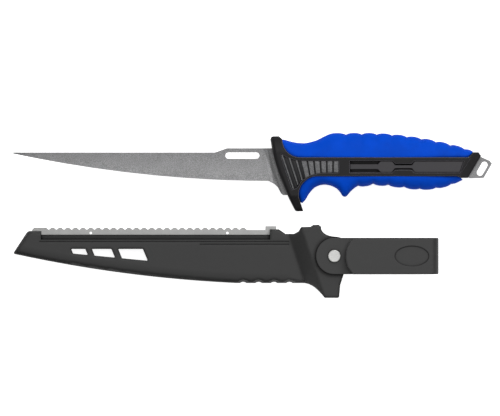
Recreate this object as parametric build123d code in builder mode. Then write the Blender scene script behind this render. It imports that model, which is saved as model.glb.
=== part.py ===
"""Fillet knife lying beside its sheath.

Both lie flat, the knife on its right side and the sheath on its rear face.
X runs along the blade with the tip towards -X, Y points from the edge to the
spine and Z points up from the surface. All lengths are millimetres.

Each of the two has a plane of its own. The knife's is on its middle plane, at
the guard's front and on the handle's axis. The sheath's is where the knife's
would be with the knife pushed home, so what receives the blade is drawn from
the blade's own sizes.
"""

import math
import os

from build123d import *

# Blade
blade_length = 178.0
blade_width = 19.6
blade_thickness = 2.2
ground_thickness = 2.0
tip_thickness = 0.9
tip_height = 0.7
edge_thickness = 0.4
spine_height = 9.9
spine_step = 2.9
step_back = 39.2
step_run = 8.2
slot_length = 23.4
slot_width = 4.3
slot_back = 20.3
heel_run = 2.4
heel_drop = 1.3
plunge_back = 6.0
plunge_foot = 1.8
plunge_bevel = 3.2
plunge_depth = 0.8
lug_reach = 14.0
lug_front = 7.6
lug_bottom = 19.4
tang_shoulder = 5.5
tang_half = 5.6
station_shares = [0, 0.05, 0.11, 0.2, 0.31, 0.43, 0.55, 0.67, 0.9]

# Tail of the tang, past the ferrule
tail_reach = 7.6
tail_back = 7.9
tail_slot_length = 10.6
tail_slot_width = 4.5
tail_slot_angle = 60.0
tail_slot_inset = 6.7
tail_slot_drop = 1.3

# Handle
handle_length = 143.5
handle_thickness = 21.0
rail_half = 6.4
seam = 0.15
back_height = 23.2
belly_depth = 15.8
crest_rise = 1.1
crown = 0.3
choil_depth = 12.3
choil_radius = 13.3
choil_reach = 18.0
choil_flank = 8.4
spur_depth = 20.8
spur_reach = 8.3
choil_round = 3.0

# Guard and ferrule
guard_rise = 21.0
guard_drop = 30.5
guard_lead = 1.5
guard_lean = 17.7
guard_bow = 2.4
guard_top = 6.3
guard_foot = 5.4
guard_crown = 2.0
guard_round = 2.2
flare_front = 8.0
flare_lean = 1.0
flare_radius = 12.0
choil_front = 18.2
choil_flare_radius = 13.0
knee_drop = 20.8
knee_radius = 4.0
ferrule_rise = 10.0
ferrule_crest = 7.6
ferrule_drop = 7.6
ferrule_lean = 9.1
ferrule_width = 5.6
ferrule_end = 5.5

# Pads, inserts and pins
pad_depth = 1.6
pad_base = 0.6
pad_sink = 0.2
pad_half = 4.1
pad_end = 45.8
rib_count = 9
rib_first = 9.3
rib_pitch = 4.15
rib_width = 2.1
rib_lean = 19.0
channel_depth = 1.5
channel_half = 4.05
channel_start = 53.2
channel_neck = 84.4
channel_neck_end = 95.6
channel_end = 131.5
channel_slant = 2.6
neck_half = 2.1
neck_ramp = 1.9
insert_thickness = 1.1
insert_room = 0.2
bar_half = 1.75
slug_start = 72.5
stem_half = 1.1
pin_radius = 2.0
pin_end_gap = 0.5
pin_fit = 0.05
tang_fit = 0.1
pin_shares = [0.167, 0.432, 0.808]

# Sheath
sheath_length = 214.4
sheath_front_depth = 6.5
sheath_rear_depth = 7.5
sheath_wall = 3.0
tip_room = 14.0
hollow_half = 3.5
blade_room = 0.5
mouth_gap = 0.5
shelf_height = 15.2
shelf_step = 1.2
shelf_band = 3.3
nose_height = 17.85
nose_floor = 2.2
nose_round = 1.0
nose_shoulder = 3.0
corner_round = 1.1
nose_run = 10.3
nose_start = sheath_length - nose_run
shelf_inset = 19.5
shelf_start = sheath_length - shelf_inset
shelf_end = 37.8
block_height = 18.9
block_end = 31.6
body_depth = 18.0
body_end = 61.1
body_bow = 3.3
body_round = 2.4
mouth_width = 26.8
collar_rise = 22.5
collar_depth = 28.0
collar_slope = 9.3
ridge_back = 9.8
ridge_lean = 18.4
tab_gap = 0.5
tab_thickness = 3.4
tab_margin = 0.8
notch_radius = 3.4
notch_depth = 0.8
notch_pitch = 10.6
notch_first = 24.4
notch_count = 4
scoop_radius = 5.0
rule_width = 0.7
rule_depth = 0.35
rule_heights = [10.6, 8.7]
rule_insets = [18.4, 128.4]
rule_end = 24.7
window_insets = [39.7, 54.0, 72.1]
window_lengths = [10.1, 13.7, 17.2]
window_top = 5.4
window_depth = 3.2
window_slope_share = 0.1
window_lean_share = 0.42
window_round = 0.55

# Scaler strip
strip_thickness = 1.5
strip_embed = 1.5
strip_inset = 13.1
strip_start = sheath_length - strip_inset
strip_end = 33.4
strip_height = 20.1
strip_end_rise = 1.0
strip_end_length = 7.6
strip_plain = 12.6
tooth_inset = 24.56
tooth_first = sheath_length - tooth_inset
tooth_pitch = 5.24
tooth_depth = 1.6
tooth_gap = 3.6
tooth_round = 0.8
strip_hole_radius = 0.85
strip_hole_height = 16.4
hole_inset = 53.4
hole_margin = 33.6
strip_holes = [sheath_length - hole_inset, strip_end + hole_margin]
strip_fit = 0.05

# Belt clip and rivet
rivet_x = 6.2
rivet_y = 0.7
eye_radius = 12.5
clip_reach = 77.5
clip_thickness = 2.5
clip_gap = 5.0
clip_rest = 0.2
clip_round = 0.8
tongue_start = 13.7
tongue_radius = 18.0
thumb_length = 23.4
thumb_width = 14.0
thumb_depth = 0.6
thumb_back = 18.4
shank_radius = 2.4
head_radius = 4.2
head_height = 1.1
head_round = 0.5
tail_head_radius = 3.6
tail_head_height = 0.7
washer_radius = 5.2
washer_thickness = 0.8
turn_fit = 0.06

# Where the sheath lies from the knife, and the overrun of every cut
layout_x = 36.4
layout_y = 61.8
over = 5.0

half = handle_thickness / 2
tail_end = handle_length + tail_reach
pin_places = [share * handle_length for share in pin_shares]
left_end = min(-blade_length, layout_x - sheath_length)
right_end = max(tail_end, layout_x + clip_reach)
top_end = back_height + crown
bottom_end = -layout_y - collar_depth
origin_x = (left_end + right_end) / 2
origin_y = (top_end + bottom_end) / 2
knife_plane = Plane((-origin_x, -origin_y, half))
sheath_plane = Plane((layout_x - origin_x, -layout_y - origin_y, sheath_rear_depth))

os.makedirs("parts", exist_ok=True)


def across(plane, x):
    """Plane square to the blade at x, with its own x along +Y and its y along +Z."""
    return Plane(plane.origin + Vector(x, 0, 0), x_dir=(0, 1, 0), z_dir=(1, 0, 0))


def leaning(plane, x, y, lean):
    """Plane seen along a line that leans from the vertical, with its own y along +Z."""
    along = Vector(math.cos(math.radians(lean)), math.sin(math.radians(lean)), 0)
    place = plane.origin + Vector(x, y, 0)
    return Plane(place, x_dir=along, z_dir=along.cross(Vector(0, 0, 1)))


def scaled(shares, width, height):
    """Outline points from shares of a width and of a height."""
    return [(x * width, y * height) for x, y in shares]


def spine_at(x):
    """Height of the spine, with its ramp up to the raised part."""
    climbed = (x + step_back) / step_run
    return spine_height + spine_step * min(max(climbed, 0), 1)


def edge_at(x):
    """Height of the cutting edge, a parabola that levels out at the heel."""
    share = 1 + x / blade_length
    dip = heel_drop * max(0, (x + heel_run) / heel_run)
    belly = (blade_width - tip_height) * (1 - (1 - share) ** 2)
    return spine_height - tip_height - belly - dip


# Steel


def plate_outline():
    """Ricasso, heel lug, tang and tail, one flat plate."""
    top = spine_height + spine_step
    lug_shares = [(0.52, 0.72), (0.8, 0.93), (1, 1)]
    tail_shares = [
        (-0.8, 0.96),
        (-0.4, 0.97),
        (0, 0.87),
        (0.79, 0.53),
        (1, 0.29),
        (0.25, -0.96),
        (-0.96, -1),
        (-1.4, -0.84),
    ]
    tail = [(handle_length + x * tail_reach, y * tail_back) for x, y in tail_shares]
    points = [(plunge_foot, edge_at(plunge_foot))]
    points += scaled(lug_shares, lug_front, -lug_bottom)
    points += [(lug_reach, -lug_bottom), (lug_reach, -tang_half)]
    points += [(tail[-1][0], -tang_half)] + tail[::-1] + [(tail[0][0], tang_half)]
    points += [(tang_shoulder, tang_half), (tang_shoulder, top), (-plunge_back, top)]
    with BuildSketch() as outline:
        Polygon(*points, align=None)
    return outline.sketch


with BuildPart() as plate:
    with BuildSketch(knife_plane):
        add(plate_outline())
    extrude(amount=blade_thickness / 2, both=True)
    plunge_middle = Vector((plunge_foot - plunge_back) / 2, 0, 0) + knife_plane.origin
    plunge_face = plate.faces().filter_by(Axis.Z, reverse=True)
    plunge_face = plunge_face.sort_by_distance(plunge_middle)[0]
    rims = [e for e in plunge_face.edges() if abs(e.tangent_at(0.5).Z) < 0.5]
    rims = [e for e in rims if abs(e.center().Z - half) > blade_thickness / 4]
    chamfer(rims, length=plunge_depth, length2=plunge_bevel, reference=plunge_face)

with BuildPart() as blade:
    places = [blade_length * (share - 1) for share in station_shares]
    places += [-step_back, step_run - step_back, -heel_run, plunge_foot + plunge_bevel]
    for place in sorted(places):
        share = 1 + place / blade_length
        thick = tip_thickness + (ground_thickness - tip_thickness) * share
        spine = spine_at(place)
        edge = edge_at(place)
        with BuildSketch(across(knife_plane, place)):
            Polygon(
                (edge, -edge_thickness / 2),
                (spine, -thick / 2),
                (spine, thick / 2),
                (edge, edge_thickness / 2),
                align=None,
            )
    loft(ruled=True)
    add(plate.part)
    with BuildSketch(knife_plane):
        with Locations((-slot_back, spine_height - slot_width / 2)):
            SlotOverall(slot_length, slot_width)
        with Locations(
            Location(
                (tail_end - tail_slot_inset, -tail_slot_drop, 0), tail_slot_angle
            )
        ):
            SlotOverall(tail_slot_length, tail_slot_width)
        with Locations(*[(x, 0) for x in pin_places]):
            Circle(pin_radius + pin_fit)
    extrude(amount=blade_thickness, both=True, mode=Mode.SUBTRACT)
blade.part.label = "blade"
export_step(blade.part, "parts/blade.step")


# Black cores


def core_outline():
    """Guard, rail and ferrule as one outline."""
    foot = guard_lean - guard_lead
    tail_top = (handle_length, ferrule_crest)
    tail_foot = (handle_length - ferrule_lean, -ferrule_drop)
    flare = (flare_front, rail_half)
    choil = (choil_front, -rail_half)
    knee = (choil_front, -knee_drop)
    with BuildSketch() as outline:
        with BuildLine():
            top = (-guard_lead, guard_rise)
            SagittaArc(top, (foot, -guard_drop), -guard_bow)
            Polyline(
                (foot, -guard_drop),
                (foot + guard_foot, -guard_drop),
                knee,
                choil,
                (tail_foot[0] - ferrule_width, -rail_half),
                (tail_foot[0] - ferrule_width, -ferrule_drop),
                tail_foot,
                tail_top,
                (handle_length - ferrule_width / 3, ferrule_rise),
                (handle_length - ferrule_width, ferrule_rise),
                (handle_length - ferrule_width * 1.5, rail_half),
                flare,
                (flare_front - flare_lean, guard_rise - guard_crown),
                (guard_top - guard_lead, guard_rise),
                top,
            )
        make_face()
        for corner, radius in (
            (flare, flare_radius),
            (choil, choil_flare_radius),
            (knee, knee_radius),
        ):
            fillet(outline.vertices().sort_by_distance(corner)[0], radius)
    return outline.sketch


def pad_outline():
    """Recess of the ribbed pad, from behind the guard along the rail."""
    shares = [
        (1, 1),
        (0.5, 1),
        (0.36, 1.12),
        (0.22, 1.6),
        (0.122, 2.2),
        (0.3, -3.8),
        (0.37, -3.6),
        (0.44, -2.35),
        (0.56, -1.45),
        (0.74, -1),
        (1, -1),
    ]
    with BuildSketch() as outline:
        Polygon(*scaled(shares, pad_end, pad_half), align=None)
    return outline.sketch


def mirrored(points):
    """Closed outline from its upper half and the same half turned over."""
    return points + [(x, -y) for x, y in reversed(points)]


def channel_outline():
    """Recess of the insert: wide, a neck, and wide again to a slanted end."""
    upper = [
        (channel_start, channel_half),
        (channel_neck - neck_ramp, channel_half),
        (channel_neck, neck_half),
        (channel_neck_end, neck_half),
        (channel_neck_end + neck_ramp, channel_half),
    ]
    outline_points = mirrored(upper)
    tip = [(channel_end, channel_half), (channel_end - channel_slant, -channel_half)]
    outline_points[len(upper) : len(upper)] = tip
    with BuildSketch() as outline:
        Polygon(*outline_points, align=None)
    return outline.sketch


def insert_outline():
    """Bar, slug, stem and long panel as one outline."""
    wide = channel_half - insert_room
    upper = [
        (channel_start + insert_room, bar_half),
        (slug_start, bar_half),
        (slug_start + neck_ramp, wide),
        (channel_neck - neck_ramp - insert_room, wide),
        (channel_neck - insert_room, stem_half),
        (channel_neck_end + insert_room, stem_half),
        (channel_neck_end + neck_ramp + insert_room, wide),
    ]
    outline_points = mirrored(upper)
    end = channel_end - insert_room
    tip = [(end, wide), (end - channel_slant, -wide)]
    outline_points[len(upper) : len(upper)] = tip
    with BuildSketch() as outline:
        Polygon(*outline_points, align=None)
    return outline.sketch


with BuildPart() as handle_core_left:
    with BuildSketch(knife_plane):
        add(core_outline())
    extrude(amount=half)
    guard_middle = (guard_rise - guard_drop) / 2
    guard_tall = (guard_rise + guard_drop) / 2 + guard_crown
    with BuildSketch(across(knife_plane, -handle_length)):
        with Locations((guard_middle, 0)):
            Ellipse(guard_tall, half + guard_crown)
    extrude(amount=handle_length * 3, mode=Mode.INTERSECT)
    curved = handle_core_left.faces().filter_by(GeomType.CYLINDER)
    front = curved.sort_by(lambda face: face.radius)[-1]
    rims = [e for e in front.edges() if e.center().Z > half + guard_round]
    fillet(rims, guard_round)
    tail_lean = math.degrees(math.atan(ferrule_lean / (ferrule_drop + ferrule_crest)))
    tail_plane = leaning(knife_plane, handle_length - ferrule_lean / 2, 0, -tail_lean)
    with BuildSketch(tail_plane):
        Polygon(
            (-ferrule_width, half),
            (ferrule_width, half - 2 * ferrule_end),
            (ferrule_width, half + over),
            (-ferrule_width, half + over),
            align=None,
        )
    extrude(amount=guard_drop, both=True, mode=Mode.SUBTRACT)
    with BuildSketch(knife_plane):
        add(plate_outline())
        offset(amount=tang_fit, kind=Kind.INTERSECTION)
    extrude(amount=blade_thickness / 2 + tang_fit, mode=Mode.SUBTRACT)
    with BuildSketch(knife_plane.offset(half - pad_depth)):
        add(pad_outline())
    extrude(amount=pad_depth + over, mode=Mode.SUBTRACT)
    with BuildSketch(knife_plane.offset(half - channel_depth)):
        add(channel_outline())
    extrude(amount=channel_depth + over, mode=Mode.SUBTRACT)
    pin_half = half - pad_depth - pin_end_gap
    with BuildSketch(knife_plane):
        with Locations(*[(x, 0) for x in pin_places]):
            Circle(pin_radius + pin_fit)
    extrude(amount=pin_half, mode=Mode.SUBTRACT)
handle_core_left.part.label = "handle_core_left"
export_step(handle_core_left.part, "parts/handle_core_left.step")

with BuildPart() as handle_core_right:
    mirror(handle_core_left.part, about=knife_plane)
handle_core_right.part.label = "handle_core_right"
export_step(handle_core_right.part, "parts/handle_core_right.step")

for number, pin_x in enumerate(pin_places, 1):
    with BuildPart() as tang_pin:
        with BuildSketch(knife_plane):
            with Locations((pin_x, 0)):
                Circle(pin_radius)
        extrude(amount=pin_half, both=True)
    tang_pin.part.label = f"tang_pin_{number}"
    export_step(tang_pin.part, f"parts/tang_pin_{number}.step")


# Pads and inserts

with BuildPart() as thumb_pad_left:
    with BuildSketch(knife_plane.offset(half - pad_depth)):
        add(pad_outline())
    extrude(amount=pad_base)
    with BuildSketch(knife_plane.offset(half - pad_depth + pad_base)):
        for rib in range(rib_count):
            lean = rib_lean * (1 - rib / (rib_count - 1))
            with Locations(Location((rib_first + rib * rib_pitch, 0, 0), lean)):
                Rectangle(rib_width, guard_drop + guard_rise)
        add(pad_outline(), mode=Mode.INTERSECT)
    extrude(amount=pad_depth - pad_base - pad_sink)
thumb_pad_left.part.label = "thumb_pad_left"
export_step(thumb_pad_left.part, "parts/thumb_pad_left.step")

with BuildPart() as thumb_pad_right:
    mirror(thumb_pad_left.part, about=knife_plane)
thumb_pad_right.part.label = "thumb_pad_right"
export_step(thumb_pad_right.part, "parts/thumb_pad_right.step")

with BuildPart() as rail_insert_left:
    with BuildSketch(knife_plane.offset(half - channel_depth)):
        add(insert_outline())
    extrude(amount=insert_thickness)
rail_insert_left.part.label = "rail_insert_left"
export_step(rail_insert_left.part, "parts/rail_insert_left.step")

with BuildPart() as rail_insert_right:
    mirror(rail_insert_left.part, about=knife_plane)
rail_insert_right.part.label = "rail_insert_right"
export_step(rail_insert_right.part, "parts/rail_insert_right.step")


# Blue grips

envelope_shares = [
    (0.03, 0.92, 1.5, 0.95),
    (0.14, 0.78, 1.5, 0.93),
    (0.3, 1.02, 1.4, 0.98),
    (0.5, 1.05, 1.12, 1.02),
    (0.72, 0.94, 1.08, 1.02),
    (0.88, 0.68, 0.86, 0.93),
    (1.0, 0.38, 0.4, 0.7),
]

with BuildPart() as envelope:
    for place_share, top_share, bottom_share, thick_share in envelope_shares:
        with BuildSketch(across(knife_plane, place_share * handle_length)):
            with BuildLine():
                centre = (0, 0)
                high = top_share * (back_height + crown)
                low = bottom_share * (belly_depth + crown)
                wide = thick_share * half
                EllipticalCenterArc(centre, high, wide, -90, arc_size=180)
                EllipticalCenterArc(centre, low, wide, 90, arc_size=180)
            make_face()
    loft()


def crests(valleys, rise):
    """Arcs from valley to valley, each bowed outwards by rise."""
    for start, end in zip(valleys, valleys[1:]):
        SagittaArc(start, end, rise)


def back_outline():
    """Back of the grip: the neck behind the guard, then nine scallops."""
    neck_shares = [
        (0.045, 0.83),
        (0.09, 0.75),
        (0.144, 0.707),
        (0.2, 0.76),
        (0.24, 0.87),
        (0.268, 0.96),
    ]
    valley_shares = [
        (0.268, 0.96),
        (0.354, 0.957),
        (0.429, 0.961),
        (0.502, 0.957),
        (0.574, 0.931),
        (0.646, 0.88),
        (0.716, 0.815),
        (0.785, 0.733),
        (0.852, 0.638),
        (0.921, 0.526),
        (0.97, 0.43),
    ]
    neck = scaled(neck_shares, handle_length, back_height)
    valleys = scaled(valley_shares, handle_length, back_height)
    with BuildSketch() as outline:
        with BuildLine():
            Spline(*neck)
            crests(valleys, crest_rise)
            middle = rail_half / 2
            Polyline(valleys[-1], (valleys[-1][0], middle), (neck[0][0], middle), neck[0])
        make_face()
    return outline.sketch


choil_centre = Vector(choil_front + choil_reach, -choil_depth - choil_radius)


def belly_outline():
    """Belly of the grip: choil, spur, then seven scallops."""
    front = choil_front
    choil_shares = [-0.737, 0, 0.842]
    spur_shares = [(0.29, 1), (0.64, 0.913), (1, 0.745)]
    valley_shares = [
        (0.04, 0.823),
        (0.157, 0.734),
        (0.274, 0.778),
        (0.399, 0.867),
        (0.52, 0.949),
        (0.649, 0.905),
        (0.766, 0.753),
        (0.886, 0.44),
    ]
    choil = []
    for share in choil_shares:
        rise = choil_radius * math.sqrt(1 - share**2)
        choil.append((choil_centre.X + share * choil_radius, choil_centre.Y + rise))
    spur_start = choil[-1][0]
    spur_end = spur_start + spur_reach
    spur = [(spur_start + x * spur_reach, -y * spur_depth) for x, y in spur_shares]
    rest = handle_length - spur_end
    valleys = [(spur_end + x * rest, -y * belly_depth) for x, y in valley_shares]
    with BuildSketch() as outline:
        with BuildLine():
            Line((front, -guard_drop + guard_crown), choil[0])
            ThreePointArc(*choil)
            ThreePointArc(choil[-1], *spur[:2])
            ThreePointArc(*spur[1:], valleys[0])
            crests(valleys, -crest_rise)
            Polyline(
                valleys[-1],
                (valleys[-1][0], 0),
                (front, 0),
                (front, -guard_drop + guard_crown),
            )
        make_face()
    return outline.sketch


with BuildPart() as grip_back:
    with BuildSketch(knife_plane):
        add(back_outline())
    extrude(amount=handle_thickness, both=True)
    add(envelope.part, mode=Mode.INTERSECT)
    with BuildSketch(knife_plane):
        add(core_outline())
        offset(amount=seam)
    extrude(amount=handle_thickness, both=True, mode=Mode.SUBTRACT)
grip_back.part.label = "grip_back"
export_step(grip_back.part, "parts/grip_back.step")

with BuildPart() as grip_belly:
    with BuildSketch(knife_plane):
        add(belly_outline())
    extrude(amount=handle_thickness, both=True)
    add(envelope.part, mode=Mode.INTERSECT)
    with BuildSketch(knife_plane):
        add(core_outline())
        offset(amount=seam)
    extrude(amount=handle_thickness, both=True, mode=Mode.SUBTRACT)
    with BuildSketch(leaning(knife_plane, choil_centre.X, choil_centre.Y, 0)):
        with BuildLine():
            wide = choil_radius + choil_round
            rim = choil_flank - choil_round
            Polyline((0, 0), (choil_radius, 0), (choil_radius, rim))
            RadiusArc((choil_radius, rim), (wide, choil_flank), choil_round)
            Polyline((wide, choil_flank), (wide, half + over), (0, half + over), (0, 0))
        flare = make_face()
        mirror(flare.faces()[0], about=Plane.XZ)
    revolve(axis=Axis(knife_plane.origin + choil_centre, (0, 0, 1)), mode=Mode.SUBTRACT)
grip_belly.part.label = "grip_belly"
export_step(grip_belly.part, "parts/grip_belly.step")


# Sheath

tab_floor = half + tab_gap
tab_top = tab_floor + tab_thickness
tab_radius = eye_radius + tab_margin


def body_floor(x):
    """Height of the body's lower edge, a shallow bow from the nose to the ribs."""
    share = (x + sheath_length) / (sheath_length - body_end)
    chord = nose_floor - (nose_floor + body_depth) * share
    return chord - 4 * body_bow * share * (1 - share)


def floor_points(start, end, inset):
    """Three points of the lower edge from start to end, raised by inset."""
    places = (start, (start + end) / 2, end)
    return [(x, body_floor(x) + inset) for x in places]


def cover_outline():
    """Sheath seen from the front, with the tab that carries the clip."""
    nose = [
        (-sheath_length, body_floor(-sheath_length)),
        (-nose_start, nose_height),
        (-shelf_start, nose_height),
        (-shelf_start, shelf_height),
        (-shelf_end, shelf_height),
        (-shelf_end, block_height),
        (-block_end, block_height),
    ]
    bump_shares = [
        (-1.01, 0.7),
        (-0.79, 0.7),
        (-0.676, 0.775),
        (-0.61, 0.91),
        (-0.37, 0.916),
        (-0.3, 0.972),
        (-0.165, 0.98),
        (-0.105, 0.924),
    ]
    flare_shares = [(-0.105, 0.924), (-0.075, 0.787), (0.045, 0.676)]
    foot_shares = [(0.437, -0.529), (0.384, -0.686), (0.355, -1), (-0.011, -1)]
    throat_shares = [(-0.011, -1), (-0.18, -0.818), (-0.36, -0.69), (-0.56, -0.643)]
    bump = scaled(bump_shares, mouth_width, collar_rise)
    flare = scaled(flare_shares, mouth_width, collar_rise)
    foot = scaled(foot_shares, mouth_width, collar_depth)
    throat = scaled(throat_shares, mouth_width, collar_depth)
    with BuildSketch() as outline:
        with BuildLine():
            Polyline(*nose, *bump)
            tab = CenterArc((rivet_x, rivet_y), tab_radius, 90, -149)
            Spline(*flare, tab @ 0)
            Polyline(tab @ 1, *foot)
            Spline(*throat)
            Line(throat[-1], (-body_end, body_floor(-body_end)))
            ThreePointArc(*floor_points(-body_end, -sheath_length, 0))
        make_face()
        for corner, rounding in zip(nose[:2], (nose_round, nose_shoulder)):
            fillet(outline.vertices().sort_by_distance(corner)[0], rounding)
        for corner in (nose[-1], *bump[2:7], foot[2], foot[3]):
            fillet(outline.vertices().sort_by_distance(corner)[0], corner_round)
    return outline.sketch


def notch_place(notch):
    """Centre of a finger notch, below the lower edge."""
    return (-notch_first - notch * notch_pitch, notch_depth - body_depth - notch_radius)


def notch_outline():
    """Finger ribs: shallow round notches in the lower edge."""
    with BuildSketch() as outline:
        with Locations(*[notch_place(notch) for notch in range(notch_count)]):
            Circle(notch_radius)
    return outline.sketch


def rim_place(notch):
    """Centre of the round scoop that a finger notch runs out into on the front."""
    return sheath_plane.origin + Vector(*notch_place(notch), sheath_front_depth)


def guard_side():
    """All that lies past the guard's front when the knife is pushed home."""
    top = (-guard_lead - mouth_gap, guard_rise)
    foot = (top[0] + guard_lean, -guard_drop)
    far = sheath_length
    with BuildSketch() as outline:
        with BuildLine():
            SagittaArc(top, foot, -guard_bow)
            Polyline(foot, (foot[0], -far), (far, -far), (far, far), (top[0], far), top)
        make_face()
    return outline.sketch


def hollow_outline():
    """Hollow that takes the blade, open at the mouth."""
    start = -blade_length - tip_room
    low = spine_height + blade_room
    high = low + spine_step
    lug = -lug_bottom - blade_room
    throat_share = 0.48
    with BuildSketch() as outline:
        with BuildLine():
            floor = ThreePointArc(*floor_points(start, -body_end, sheath_wall))
            Polyline(
                floor @ 1,
                (-throat_share * mouth_width, body_floor(-body_end) + sheath_wall),
                (0, lug),
                (mouth_width, lug),
                (mouth_width, high),
                (-step_back - blade_room, high),
                (-step_back - blade_room, low),
                (start, low),
                floor @ 0,
            )
        make_face()
    return outline.sketch


def window_outline():
    """Three slanted windows in a row, getting taller towards the mouth."""
    with BuildSketch() as outline:
        for inset, length in zip(window_insets, window_lengths):
            start = sheath_length - inset
            sides = []
            for x in (-start, length - start):
                tall = window_depth + window_slope_share * (x + sheath_length - window_insets[0])
                sides.append([(x, window_top), (x + tall * window_lean_share, window_top - tall)])
            Polygon(*sides[0], *sides[1][::-1], align=None)
        fillet(outline.vertices(), window_round)
    return outline.sketch


def strip_blank(grow):
    """Scaler strip before its teeth are cut, with grow added all round."""
    start = -strip_start - grow
    end = -strip_end + grow
    floor = shelf_height - strip_embed - grow
    top = strip_height + grow
    with BuildSketch() as outline:
        Polygon(
            (start, floor),
            (end, floor),
            (end, top + strip_end_rise),
            (end - strip_end_length, top + strip_end_rise),
            (end - strip_end_length, top),
            (start + strip_embed, top),
            (start, top - strip_embed),
            align=None,
        )
    return outline.sketch


with BuildPart() as collar:
    with BuildSketch(sheath_plane):
        add(cover_outline())
    extrude(amount=tab_top)
    with BuildSketch(leaning(sheath_plane, -ridge_back, 0, ridge_lean)):
        Polygon(
            (-collar_slope, 0),
            (mouth_width * 2, 0),
            (mouth_width * 2, tab_top),
            (0, tab_top),
            (-collar_slope, sheath_front_depth),
            align=None,
        )
    extrude(amount=sheath_length, both=True, mode=Mode.INTERSECT)

washer_seat = tab_floor + washer_thickness + tail_head_height + turn_fit


def body_rims(shell):
    """Outer edges of a shell along its belly and round its nose."""
    outer = shell.faces().sort_by(lambda f: abs(f.center().Z - sheath_rear_depth))[-1]
    rims = []
    for rim in outer.edges():
        place = rim.center() - sheath_plane.origin
        at_nose = place.X < -shelf_start
        along_belly = place.X < -mouth_width / 2 and place.Y < 0
        if at_nose or along_belly:
            rims.append(rim)
    return rims


with BuildPart() as sheath_front:
    with BuildSketch(sheath_plane):
        add(cover_outline())
        add(guard_side(), mode=Mode.SUBTRACT)
    extrude(amount=sheath_front_depth)
    fillet(body_rims(sheath_front), body_round)
    add(collar.part)
    with BuildSketch(sheath_plane):
        add(guard_side())
    extrude(amount=tab_floor, mode=Mode.SUBTRACT)
    with BuildSketch(sheath_plane):
        add(hollow_outline())
    extrude(amount=hollow_half, mode=Mode.SUBTRACT)
    with BuildSketch(sheath_plane):
        add(window_outline())
        add(notch_outline())
    extrude(amount=sheath_front_depth, mode=Mode.SUBTRACT)
    with BuildSketch(sheath_plane):
        add(strip_blank(strip_fit))
    extrude(amount=strip_thickness / 2 + strip_fit, mode=Mode.SUBTRACT)
    with BuildSketch(sheath_plane.offset(sheath_front_depth - shelf_step)):
        with Locations(((-shelf_start - shelf_end) / 2, shelf_height)):
            Rectangle(shelf_start - shelf_end, 2 * shelf_band)
    extrude(amount=shelf_step + over, mode=Mode.SUBTRACT)
    with BuildSketch(sheath_plane.offset(sheath_front_depth - rule_depth)):
        for inset, height in zip(rule_insets, rule_heights):
            start = sheath_length - inset
            with Locations(((-start - rule_end) / 2, height)):
                Rectangle(start - rule_end, rule_width)
    extrude(amount=rule_depth, mode=Mode.SUBTRACT)
    with Locations(*[rim_place(notch) for notch in range(notch_count)]):
        Sphere(scoop_radius, mode=Mode.SUBTRACT)
    with BuildSketch(sheath_plane.offset(tab_floor)):
        with Locations((rivet_x, rivet_y)):
            Circle(washer_radius + pin_fit)
    extrude(amount=washer_seat - tab_floor, mode=Mode.SUBTRACT)
    with BuildSketch(sheath_plane):
        with Locations((rivet_x, rivet_y)):
            Circle(shank_radius + pin_fit)
    extrude(amount=tab_top, mode=Mode.SUBTRACT)
sheath_front.part.label = "sheath_front"
export_step(sheath_front.part, "parts/sheath_front.step")

with BuildPart() as sheath_rear:
    with BuildSketch(sheath_plane):
        add(cover_outline())
        add(guard_side(), mode=Mode.SUBTRACT)
    extrude(amount=-sheath_rear_depth)
    fillet(body_rims(sheath_rear), body_round)
    with BuildSketch(sheath_plane):
        add(hollow_outline())
    extrude(amount=-hollow_half, mode=Mode.SUBTRACT)
    with BuildSketch(sheath_plane):
        add(window_outline())
        add(notch_outline())
    extrude(amount=-sheath_rear_depth, mode=Mode.SUBTRACT)
    with BuildSketch(sheath_plane):
        add(strip_blank(strip_fit))
    extrude(amount=-strip_thickness / 2 - strip_fit, mode=Mode.SUBTRACT)
sheath_rear.part.label = "sheath_rear"
export_step(sheath_rear.part, "parts/sheath_rear.step")



def strip_outline():
    """Scaler strip with a row of rounded teeth and a low plain stretch behind them."""
    notch = [(-tooth_gap / 2, 0), (0, -tooth_depth), (tooth_gap / 2, 0)]
    block = -strip_end - strip_end_length
    tooth_count = round((block - strip_plain + tooth_first) / tooth_pitch)
    last = tooth_count * tooth_pitch - tooth_first
    valley = strip_height - tooth_depth
    with BuildSketch() as outline:
        add(strip_blank(0))
        with Locations(*[(x * tooth_pitch - tooth_first, strip_height) for x in range(tooth_count)]):
            Polygon(*notch, align=None, mode=Mode.SUBTRACT)
        Polygon(
            (last - tooth_gap / 2, strip_height),
            (last, valley),
            (block, valley),
            (block, strip_height),
            align=None,
            mode=Mode.SUBTRACT,
        )
        tops = [v for v in outline.vertices() if abs(v.Y - strip_height) < strip_fit]
        fillet(tops, tooth_round)
        with Locations(*[(-x, strip_hole_height) for x in strip_holes]):
            Circle(strip_hole_radius, mode=Mode.SUBTRACT)
    return outline.sketch


with BuildPart() as scaler_strip:
    with BuildSketch(sheath_plane):
        add(strip_outline())
    extrude(amount=strip_thickness / 2, both=True)
scaler_strip.part.label = "scaler_strip"
export_step(scaler_strip.part, "parts/scaler_strip.step")


# Clip and its rivet

clip_floor = tab_top + clip_rest
tongue_floor = clip_floor + clip_thickness + clip_gap
bend_radius = clip_thickness + clip_gap / 2
bend_x = clip_reach - bend_radius

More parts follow.
